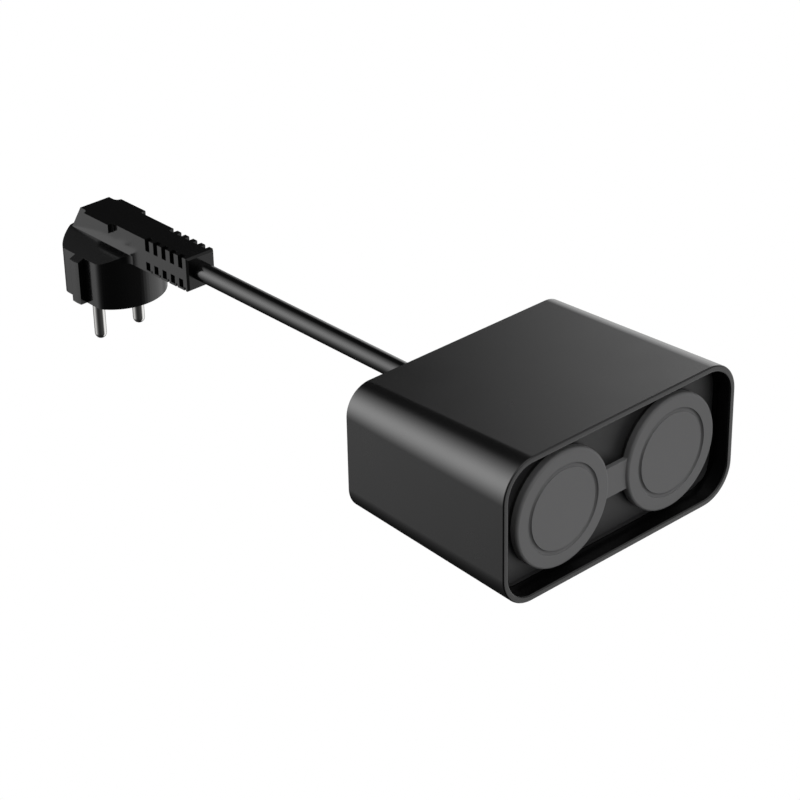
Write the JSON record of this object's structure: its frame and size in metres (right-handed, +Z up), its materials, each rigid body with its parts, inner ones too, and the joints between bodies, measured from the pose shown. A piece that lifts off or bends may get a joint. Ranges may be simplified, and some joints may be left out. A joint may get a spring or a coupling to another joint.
{
  "type": "smart plug",
  "caption": "Outdoor switched box with two covered round-pin sockets on a short lead with an angled earthed plug.",
  "frame": {"origin": "centre of the plug's contact face, where it meets the wall socket", "axes": "+X across the box, to its right seen from the front; -Y from the plug along the lead to the box and out of its sockets; +Z up, away from the plug's pins"},
  "size_m": [0.108, 0.292, 0.072],
  "materials": {
    "case_plastic": "black moulded plastic with a fine satin texture",
    "panel_plastic": "dark grey moulded plastic, fine texture",
    "seal_rubber": "soft black foam rubber",
    "screw_steel": "zinc-plated steel",
    "clip_steel": "bright sprung steel strip",
    "shutter_plastic": "orange-brown heat-proof plastic",
    "carrier_plastic": "black heat-proof plastic",
    "contact_brass": "bare brass",
    "cap_rubber": "dull dark grey rubber",
    "board_laminate": "green solder mask on glass laminate",
    "relay_plastic": "black moulded plastic",
    "potting_plastic": "black potting shell",
    "capacitor_sleeve": "dark blue shrink sleeve",
    "varistor_coat": "blue epoxy coat",
    "terminal_plastic": "green nylon",
    "clear_plastic": "clear moulded plastic",
    "button_rubber": "dark grey rubber",
    "gland_rubber": "black flexible boot",
    "nylon": "natural nylon",
    "wire_brown": "brown wire insulation",
    "wire_blue": "blue wire insulation",
    "wire_green": "green and yellow wire insulation",
    "cord_sheath": "black flexible cable sheath, slightly shiny",
    "plug_plastic": "black moulded plug, satin",
    "pin_nickel": "bright nickel plating"
  },
  "bodies": {
    "box": {"outer_sleeve": "case_plastic", "front_panel": "panel_plastic", "front_gasket": "seal_rubber", "rear_cover": "case_plastic", "rear_gasket": "seal_rubber", "cover_screws": "screw_steel", "socket_insert_left": "panel_plastic", "socket_insert_right": "panel_plastic", "insert_screws": "screw_steel", "earth_clips_left": "clip_steel", "earth_clips_right": "clip_steel", "contact_carrier_left": "carrier_plastic", "contact_carrier_right": "carrier_plastic", "contacts_left": "contact_brass", "contacts_right": "contact_brass", "strap_anchor": "cap_rubber", "main_board": "board_laminate", "board_screws": "screw_steel", "relay_left": "relay_plastic", "relay_right": "relay_plastic", "power_module": "potting_plastic", "wifi_module": "board_laminate", "wifi_shield": "clip_steel", "capacitors": "capacitor_sleeve", "varistor": "varistor_coat", "fuse": "contact_brass", "terminal_block": "terminal_plastic", "button_switch": "relay_plastic", "status_led": "clear_plastic", "light_pipe": "clear_plastic", "cable_gland": "gland_rubber", "cord_clamp": "nylon", "clamp_screws": "screw_steel", "wire_live": "wire_brown", "wire_neutral": "wire_blue", "wire_earth": "wire_green", "cord_tail": "cord_sheath", "cord": "cord_sheath", "plug_body": "plug_plastic", "plug_bridge": "nylon", "plug_pins": "pin_nickel", "plug_earth_contact": "pin_nickel"},
    "cap_left": {"cap_left": "cap_rubber"},
    "cap_right": {"cap_right": "cap_rubber"},
    "shutter_left": {"shutter_left": "shutter_plastic"},
    "shutter_right": {"shutter_right": "shutter_plastic"},
    "button": {"button": "button_rubber"}
  },
  "joints": [
    {"name": "cap_left_hinge", "type": "hinge", "parent": "box", "child": "cap_left", "pos_m": [-0.0024, -0.26835, 0.0265], "axis": [0, 0, 1], "range_deg": [0, 90], "stiffness_Nm_per_rad": 0.01},
    {"name": "cap_right_hinge", "type": "hinge", "parent": "box", "child": "cap_right", "pos_m": [0.0024, -0.26835, 0.0265], "axis": [0, 0, -1], "range_deg": [0, 90], "stiffness_Nm_per_rad": 0.01},
    {"name": "shutter_left_slide", "type": "slide", "parent": "box", "child": "shutter_left", "axis": [-1, 0, 0], "range_m": [0, 0.006], "stiffness_N_per_m": 60},
    {"name": "shutter_right_slide", "type": "slide", "parent": "box", "child": "shutter_right", "axis": [-1, 0, 0], "range_m": [0, 0.006], "stiffness_N_per_m": 60},
    {"name": "button_press", "type": "slide", "parent": "box", "child": "button", "axis": [0, -1, 0], "range_m": [0, 0.0008], "stiffness_N_per_m": 1500}
  ]
}
